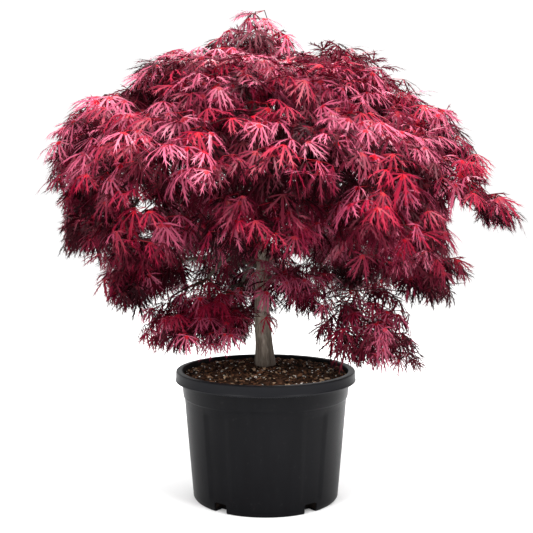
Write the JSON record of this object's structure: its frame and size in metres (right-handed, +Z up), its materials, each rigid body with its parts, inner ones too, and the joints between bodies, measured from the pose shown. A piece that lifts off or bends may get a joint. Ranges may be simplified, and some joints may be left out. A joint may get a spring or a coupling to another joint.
{
  "type": "potted laceleaf maple",
  "caption": "Small weeping tree with a ragged dome of fine-cut wine-red leaves on a short grey trunk, standing in a round black nursery container of potting mix.",
  "frame": {"origin": "centre of the pot's flat underside, on the surface that it stands on", "axes": "+Z up; -Y towards the front, where the shown side of the plant faces; +X to the right seen from the front"},
  "size_m": [1.0872, 0.997, 1.1094],
  "materials": {
    "pot_plastic": "satin moulded polypropylene, near black",
    "potting_mix": "loose bark-based mix, dark brown with pale specks",
    "bark": "matt grey-brown bark, finely furrowed",
    "foliage": "soft satin wine-red leaves"
  },
  "bodies": {
    "root": {"pot": "pot_plastic", "potting_mix": "potting_mix", "trunk": "bark", "apex_foliage": "foliage", "crown_foliage_1": "foliage", "crown_foliage_2": "foliage", "crown_foliage_3": "foliage", "crown_foliage_4": "foliage", "crown_foliage_5": "foliage", "crown_foliage_6": "foliage", "shoulder_foliage_1": "foliage", "shoulder_foliage_2": "foliage", "shoulder_foliage_3": "foliage", "shoulder_foliage_4": "foliage", "shoulder_foliage_5": "foliage", "shoulder_foliage_6": "foliage", "shoulder_foliage_7": "foliage", "shoulder_foliage_8": "foliage", "shoulder_foliage_9": "foliage", "skirt_foliage_1": "foliage", "skirt_foliage_2": "foliage", "skirt_foliage_3": "foliage", "skirt_foliage_4": "foliage", "skirt_foliage_5": "foliage", "skirt_foliage_6": "foliage", "skirt_foliage_7": "foliage", "skirt_foliage_8": "foliage", "lower_foliage_1": "foliage", "lower_foliage_2": "foliage", "lower_foliage_3": "foliage", "lower_foliage_4": "foliage", "lower_foliage_5": "foliage", "lower_foliage_6": "foliage", "lower_foliage_7": "foliage", "lower_foliage_8": "foliage", "inner_foliage_1": "foliage", "inner_foliage_2": "foliage", "crown_bough_1": "bark", "crown_bough_2": "bark", "crown_bough_3": "bark", "crown_bough_4": "bark", "crown_bough_5": "bark", "crown_bough_6": "bark", "shoulder_bough_1": "bark", "shoulder_bough_2": "bark", "shoulder_bough_3": "bark", "shoulder_bough_4": "bark", "shoulder_bough_5": "bark", "shoulder_bough_6": "bark", "shoulder_bough_7": "bark", "shoulder_bough_8": "bark", "shoulder_bough_9": "bark", "lower_bough_1": "bark", "lower_bough_2": "bark", "lower_bough_3": "bark", "lower_bough_4": "bark", "lower_bough_5": "bark", "lower_bough_6": "bark", "lower_bough_7": "bark", "lower_bough_8": "bark"}
  },
  "joints": []
}
